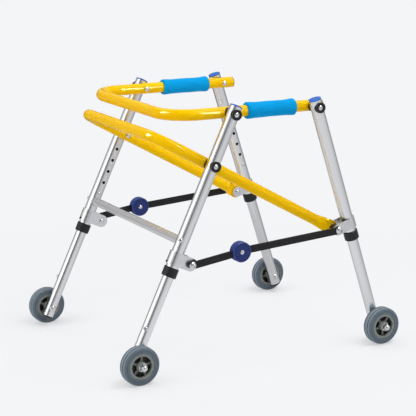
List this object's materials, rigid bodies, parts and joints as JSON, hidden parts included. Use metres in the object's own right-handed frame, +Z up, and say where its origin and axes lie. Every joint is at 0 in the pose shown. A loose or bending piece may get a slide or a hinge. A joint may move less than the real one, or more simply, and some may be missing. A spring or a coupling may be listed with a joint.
{
  "type": "posterior walker",
  "caption": "Child's folding posterior walker: aluminium legs on small wheels, bent yellow rails behind the user, foam hand grips, hinged side braces and push-button leg height adjustment.",
  "frame": {"origin": "On the floor, midway between the front and rear axles and between the two sides.", "axes": "+X the way the child walks, towards the open front; +Y the child's left; +Z up. Metres."},
  "size_m": [0.623, 0.5126, 0.5167],
  "materials": {
    "aluminium_tube": "satin anodised tube",
    "zinc_plated_steel": "bright zinc plate",
    "yellow_painted_tube": "semi-gloss powder coat",
    "blue_foam": "matt closed-cell foam",
    "blue_cap_plastic": "moulded, lightly glossy",
    "black_plastic": "moulded, fine grain",
    "black_painted_bar": "black powder coat on flat bar",
    "navy_plastic": "moulded, lightly glossy",
    "grey_rubber": "smooth matt tyre",
    "grey_hub_plastic": "moulded nylon"
  },
  "bodies": {
    "rear_frame": {"rear_leg_left": "aluminium_tube", "rear_leg_right": "aluminium_tube", "cross_tube": "aluminium_tube", "rear_brackets": "zinc_plated_steel", "rear_leg_caps": "blue_cap_plastic", "rear_leg_collars": "black_plastic", "rear_pivot_bolts": "zinc_plated_steel", "rear_pivot_washers": "black_plastic"},
    "upper_rail": {"upper_rail": "yellow_painted_tube", "upper_rail_saddles": "black_plastic", "rail_end_plugs": "black_plastic", "grips": "blue_foam"},
    "lower_rail": {"lower_rail": "yellow_painted_tube", "lower_rail_saddles": "black_plastic"},
    "front_leg_left": {"front_leg_left": "aluminium_tube", "front_bracket_left": "zinc_plated_steel", "front_leg_cap_left": "blue_cap_plastic", "front_leg_collar_left": "black_plastic", "front_leg_bolts_left": "zinc_plated_steel", "front_leg_washers_left": "black_plastic"},
    "brace_rear_left": {"brace_rear_bar_left": "black_painted_bar", "brace_hinge_cover_left": "navy_plastic", "brace_hinge_rivet_left": "zinc_plated_steel"},
    "brace_front_left": {"brace_front_bar_left": "black_painted_bar", "brace_front_screw_left": "zinc_plated_steel"},
    "lower_leg_rear_left": {"lower_leg_rear_left": "aluminium_tube", "foot_plug_rear_left": "black_plastic", "axle_rear_left": "zinc_plated_steel"},
    "wheel_rear_left": {"tyre_rear_left": "grey_rubber", "hub_rear_left": "grey_hub_plastic"},
    "snap_button_rear_left": {"snap_button_rear_left": "zinc_plated_steel"},
    "lower_leg_front_left": {"lower_leg_front_left": "aluminium_tube", "foot_plug_front_left": "black_plastic", "axle_front_left": "zinc_plated_steel"},
    "wheel_front_left": {"tyre_front_left": "grey_rubber", "hub_front_left": "grey_hub_plastic"},
    "snap_button_front_left": {"snap_button_front_left": "zinc_plated_steel"},
    "front_leg_right": {"front_leg_right": "aluminium_tube", "front_bracket_right": "zinc_plated_steel", "front_leg_cap_right": "blue_cap_plastic", "front_leg_collar_right": "black_plastic", "front_leg_bolts_right": "zinc_plated_steel", "front_leg_washers_right": "black_plastic"},
    "brace_rear_right": {"brace_rear_bar_right": "black_painted_bar", "brace_hinge_cover_right": "navy_plastic", "brace_hinge_rivet_right": "zinc_plated_steel"},
    "brace_front_right": {"brace_front_bar_right": "black_painted_bar", "brace_front_screw_right": "zinc_plated_steel"},
    "lower_leg_rear_right": {"lower_leg_rear_right": "aluminium_tube", "foot_plug_rear_right": "black_plastic", "axle_rear_right": "zinc_plated_steel"},
    "wheel_rear_right": {"tyre_rear_right": "grey_rubber", "hub_rear_right": "grey_hub_plastic"},
    "snap_button_rear_right": {"snap_button_rear_right": "zinc_plated_steel"},
    "lower_leg_front_right": {"lower_leg_front_right": "aluminium_tube", "foot_plug_front_right": "black_plastic", "axle_front_right": "zinc_plated_steel"},
    "wheel_front_right": {"tyre_front_right": "grey_rubber", "hub_front_right": "grey_hub_plastic"},
    "snap_button_front_right": {"snap_button_front_right": "zinc_plated_steel"}
  },
  "joints": [
    {"name": "fold", "type": "hinge", "parent": "rear_frame", "child": "upper_rail", "pos_m": [-0.061, 0, 0.496], "axis": [0, 1, 0], "range_deg": [0, 80]},
    {"name": "lower_rail_swing", "type": "hinge", "parent": "rear_frame", "child": "lower_rail", "pos_m": [-0.1054, 0, 0.4003], "axis": [0, 1, 0], "range_deg": [0, 65.2]},
    {"name": "front_leg_left_swing", "type": "hinge", "parent": "upper_rail", "child": "front_leg_left", "pos_m": [0.125, 0.2055, 0.496], "axis": [0, 1, 0], "range_deg": [-45, 0]},
    {"name": "brace_rear_left_swing", "type": "hinge", "parent": "rear_frame", "child": "brace_rear_left", "pos_m": [-0.15955, 0.2055, 0.21707], "axis": [0, 1, 0], "range_deg": [-51, 0]},
    {"name": "brace_front_left_swing", "type": "hinge", "parent": "brace_rear_left", "child": "brace_front_left", "pos_m": [-0.05493, 0.2055, 0.23158], "axis": [0, 1, 0], "range_deg": [0, 152.4]},
    {"name": "rear_left_height", "type": "slide", "parent": "rear_frame", "child": "lower_leg_rear_left", "axis": [0.4209, 0, 0.9071], "range_m": [0, 0.1016], "deforming": ["snap_button_rear_left"]},
    {"name": "rear_left_wheel_spin", "type": "hinge", "parent": "lower_leg_rear_left", "child": "wheel_rear_left", "pos_m": [-0.2735, 0.2055, 0.038], "axis": [0, 1, 0], "continuous": true},
    {"name": "rear_left_button_press", "type": "slide", "parent": "lower_leg_rear_left", "child": "snap_button_rear_left", "axis": [0, 1, 0], "range_m": [0, 0.0032], "stiffness_N_per_m": 1500, "deforming": ["snap_button_rear_left"]},
    {"name": "front_left_height", "type": "slide", "parent": "front_leg_left", "child": "lower_leg_front_left", "axis": [-0.3084, 0, 0.9512], "range_m": [0, 0.1016], "deforming": ["snap_button_front_left"]},
    {"name": "front_left_wheel_spin", "type": "hinge", "parent": "lower_leg_front_left", "child": "wheel_front_left", "pos_m": [0.2735, 0.2055, 0.038], "axis": [0, 1, 0], "continuous": true},
    {"name": "front_left_button_press", "type": "slide", "parent": "lower_leg_front_left", "child": "snap_button_front_left", "axis": [0, 1, 0], "range_m": [0, 0.0032], "stiffness_N_per_m": 1500, "deforming": ["snap_button_front_left"]},
    {"name": "front_leg_right_swing", "type": "hinge", "parent": "upper_rail", "child": "front_leg_right", "pos_m": [0.125, -0.2055, 0.496], "axis": [0, 1, 0], "range_deg": [-45, 0]},
    {"name": "brace_rear_right_swing", "type": "hinge", "parent": "rear_frame", "child": "brace_rear_right", "pos_m": [-0.15955, -0.2055, 0.21707], "axis": [0, 1, 0], "range_deg": [-51, 0]},
    {"name": "brace_front_right_swing", "type": "hinge", "parent": "brace_rear_right", "child": "brace_front_right", "pos_m": [-0.05493, -0.2055, 0.23158], "axis": [0, 1, 0], "range_deg": [0, 152.4]},
    {"name": "rear_right_height", "type": "slide", "parent": "rear_frame", "child": "lower_leg_rear_right", "axis": [0.4209, 0, 0.9071], "range_m": [0, 0.1016], "deforming": ["snap_button_rear_right"]},
    {"name": "rear_right_wheel_spin", "type": "hinge", "parent": "lower_leg_rear_right", "child": "wheel_rear_right", "pos_m": [-0.2735, -0.2055, 0.038], "axis": [0, 1, 0], "continuous": true},
    {"name": "rear_right_button_press", "type": "slide", "parent": "lower_leg_rear_right", "child": "snap_button_rear_right", "axis": [0, -1, 0], "range_m": [0, 0.0032], "stiffness_N_per_m": 1500, "deforming": ["snap_button_rear_right"]},
    {"name": "front_right_height", "type": "slide", "parent": "front_leg_right", "child": "lower_leg_front_right", "axis": [-0.3084, 0, 0.9512], "range_m": [0, 0.1016], "deforming": ["snap_button_front_right"]},
    {"name": "front_right_wheel_spin", "type": "hinge", "parent": "lower_leg_front_right", "child": "wheel_front_right", "pos_m": [0.2735, -0.2055, 0.038], "axis": [0, 1, 0], "continuous": true},
    {"name": "front_right_button_press", "type": "slide", "parent": "lower_leg_front_right", "child": "snap_button_front_right", "axis": [0, -1, 0], "range_m": [0, 0.0032], "stiffness_N_per_m": 1500, "deforming": ["snap_button_front_right"]}
  ],
  "couplings": [
    {"joint": "lower_rail_swing", "follows": "fold", "ratio": 0.8135},
    {"joint": "front_leg_left_swing", "follows": "fold", "ratio": -0.562},
    {"joint": "brace_rear_left_swing", "follows": "fold", "ratio": -0.6326},
    {"joint": "brace_front_left_swing", "follows": "fold", "ratio": 1.9004},
    {"joint": "front_leg_right_swing", "follows": "fold", "ratio": -0.562},
    {"joint": "brace_rear_right_swing", "follows": "fold", "ratio": -0.6326},
    {"joint": "brace_front_right_swing", "follows": "fold", "ratio": 1.9004}
  ]
}
